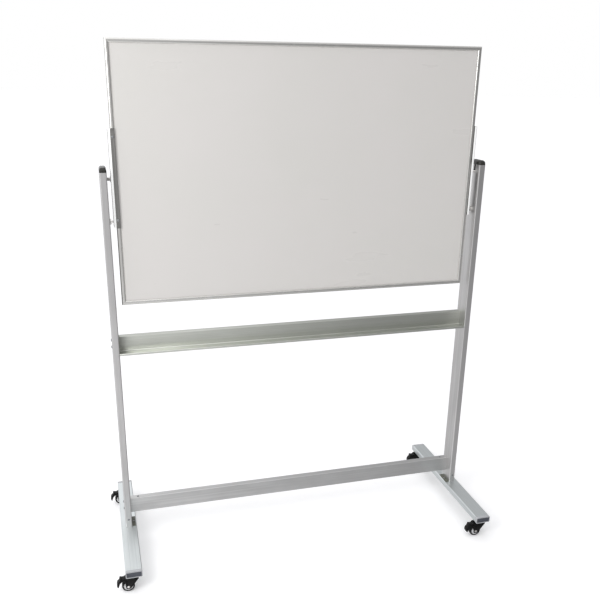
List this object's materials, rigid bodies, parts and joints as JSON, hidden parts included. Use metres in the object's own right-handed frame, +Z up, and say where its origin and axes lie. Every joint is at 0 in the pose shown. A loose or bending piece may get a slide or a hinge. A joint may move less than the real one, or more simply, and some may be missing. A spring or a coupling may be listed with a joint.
{
  "type": "rolling whiteboard",
  "caption": "Double-sided whiteboard that turns over between two posts, with a pen tray, a low crossbar and long feet on braked swivel castors.",
  "frame": {"origin": "on the floor, midway between the two posts, under the board's turning axis", "axes": "+X to the viewer's right along the board, +Y away from the viewer, +Z up"},
  "size_m": [1.344, 0.58, 1.7],
  "materials": {
    "anodised_stand": "satin anodised extrusion",
    "anodised_frame": "satin anodised extrusion",
    "bracket_metal": "satin anodised extrusion",
    "writing_surface": "gloss white lacquer on steel sheet",
    "honeycomb_core": "resin-stiffened paper honeycomb",
    "black_plastic": "moulded, fine grain",
    "grey_plastic": "moulded, fine grain",
    "nylon": "moulded nylon",
    "dark_plate": "dark powder coat",
    "insert_metal": "sawn and drilled",
    "zinc_steel": "zinc plated",
    "chromed_steel": "bright plated",
    "caster_black": "moulded nylon, semi-gloss",
    "wheel_plastic": "moulded polypropylene",
    "caster_tyre": "black thermoplastic tread"
  },
  "bodies": {
    "stand": {"post_left": "anodised_stand", "post_right": "anodised_stand", "foot_left": "anodised_stand", "foot_right": "anodised_stand", "crossbar": "anodised_stand", "tray": "anodised_stand", "post_cap_left": "black_plastic", "post_cap_right": "black_plastic", "foot_caps": "grey_plastic", "bearing_block_left": "nylon", "bearing_block_right": "nylon", "foot_plate_left": "dark_plate", "foot_plate_right": "dark_plate", "post_inserts": "insert_metal", "crossbar_inserts": "insert_metal", "tray_inserts": "insert_metal", "base_bolts": "zinc_steel", "post_screws": "zinc_steel", "plate_screws": "zinc_steel", "crossbar_screws": "zinc_steel", "crossbar_bolts": "zinc_steel", "tray_bolts": "zinc_steel", "caster_stems": "zinc_steel", "lock_barrel_left": "chromed_steel", "lock_barrel_right": "chromed_steel"},
    "board": {"frame_rail_bottom": "anodised_frame", "frame_rail_left": "anodised_frame", "frame_rail_top": "anodised_frame", "frame_rail_right": "anodised_frame", "side_bracket_left": "bracket_metal", "side_bracket_right": "bracket_metal", "panel_front": "writing_surface", "panel_rear": "writing_surface", "panel_core": "honeycomb_core", "bracket_screws": "zinc_steel", "corner_keys": "zinc_steel", "pivot_pin_left": "chromed_steel", "pivot_pin_right": "chromed_steel"},
    "lock_left": {"lock_pin_left": "chromed_steel"},
    "lock_right": {"lock_pin_right": "chromed_steel"},
    "swivel_front_left": {"caster_fork_front_left": "caster_black", "caster_axle_front_left": "zinc_steel"},
    "roller_front_left": {"caster_wheel_front_left": "wheel_plastic", "caster_tyre_front_left": "caster_tyre"},
    "pedal_front_left": {"caster_pedal_front_left": "caster_black"},
    "swivel_rear_left": {"caster_fork_rear_left": "caster_black", "caster_axle_rear_left": "zinc_steel"},
    "roller_rear_left": {"caster_wheel_rear_left": "wheel_plastic", "caster_tyre_rear_left": "caster_tyre"},
    "pedal_rear_left": {"caster_pedal_rear_left": "caster_black"},
    "swivel_front_right": {"caster_fork_front_right": "caster_black", "caster_axle_front_right": "zinc_steel"},
    "roller_front_right": {"caster_wheel_front_right": "wheel_plastic", "caster_tyre_front_right": "caster_tyre"},
    "pedal_front_right": {"caster_pedal_front_right": "caster_black"},
    "swivel_rear_right": {"caster_fork_rear_right": "caster_black", "caster_axle_rear_right": "zinc_steel"},
    "roller_rear_right": {"caster_wheel_rear_right": "wheel_plastic", "caster_tyre_rear_right": "caster_tyre"},
    "pedal_rear_right": {"caster_pedal_rear_right": "caster_black"}
  },
  "joints": [
    {"name": "board_flip", "type": "hinge", "parent": "stand", "child": "board", "pos_m": [0, 0, 1.3], "axis": [1, 0, 0], "continuous": true},
    {"name": "lock_left_slide", "type": "slide", "parent": "stand", "child": "lock_left", "axis": [1, 0, 0], "range_m": [0, 0.004]},
    {"name": "lock_right_slide", "type": "slide", "parent": "stand", "child": "lock_right", "axis": [-1, 0, 0], "range_m": [0, 0.004]},
    {"name": "swivel_front_left_turn", "type": "hinge", "parent": "stand", "child": "swivel_front_left", "pos_m": [-0.63, -0.268, 0.05], "axis": [0, 0, 1], "continuous": true},
    {"name": "roller_front_left_spin", "type": "hinge", "parent": "swivel_front_left", "child": "roller_front_left", "pos_m": [-0.65, -0.268, 0.021], "axis": [0, 1, 0], "continuous": true},
    {"name": "pedal_front_left_press", "type": "hinge", "parent": "swivel_front_left", "child": "pedal_front_left", "pos_m": [-0.65441, -0.268, 0.04601], "axis": [0, -1, 0], "range_deg": [0, 12]},
    {"name": "swivel_rear_left_turn", "type": "hinge", "parent": "stand", "child": "swivel_rear_left", "pos_m": [-0.63, 0.268, 0.05], "axis": [0, 0, 1], "continuous": true},
    {"name": "roller_rear_left_spin", "type": "hinge", "parent": "swivel_rear_left", "child": "roller_rear_left", "pos_m": [-0.65, 0.268, 0.021], "axis": [0, 1, 0], "continuous": true},
    {"name": "pedal_rear_left_press", "type": "hinge", "parent": "swivel_rear_left", "child": "pedal_rear_left", "pos_m": [-0.65441, 0.268, 0.04601], "axis": [0, -1, 0], "range_deg": [0, 12]},
    {"name": "swivel_front_right_turn", "type": "hinge", "parent": "stand", "child": "swivel_front_right", "pos_m": [0.63, -0.268, 0.05], "axis": [0, 0, 1], "continuous": true},
    {"name": "roller_front_right_spin", "type": "hinge", "parent": "swivel_front_right", "child": "roller_front_right", "pos_m": [0.61, -0.268, 0.021], "axis": [0, 1, 0], "continuous": true},
    {"name": "pedal_front_right_press", "type": "hinge", "parent": "swivel_front_right", "child": "pedal_front_right", "pos_m": [0.60559, -0.268, 0.04601], "axis": [0, -1, 0], "range_deg": [0, 12]},
    {"name": "swivel_rear_right_turn", "type": "hinge", "parent": "stand", "child": "swivel_rear_right", "pos_m": [0.63, 0.268, 0.05], "axis": [0, 0, 1], "continuous": true},
    {"name": "roller_rear_right_spin", "type": "hinge", "parent": "swivel_rear_right", "child": "roller_rear_right", "pos_m": [0.61, 0.268, 0.021], "axis": [0, 1, 0], "continuous": true},
    {"name": "pedal_rear_right_press", "type": "hinge", "parent": "swivel_rear_right", "child": "pedal_rear_right", "pos_m": [0.60559, 0.268, 0.04601], "axis": [0, -1, 0], "range_deg": [0, 12]}
  ]
}
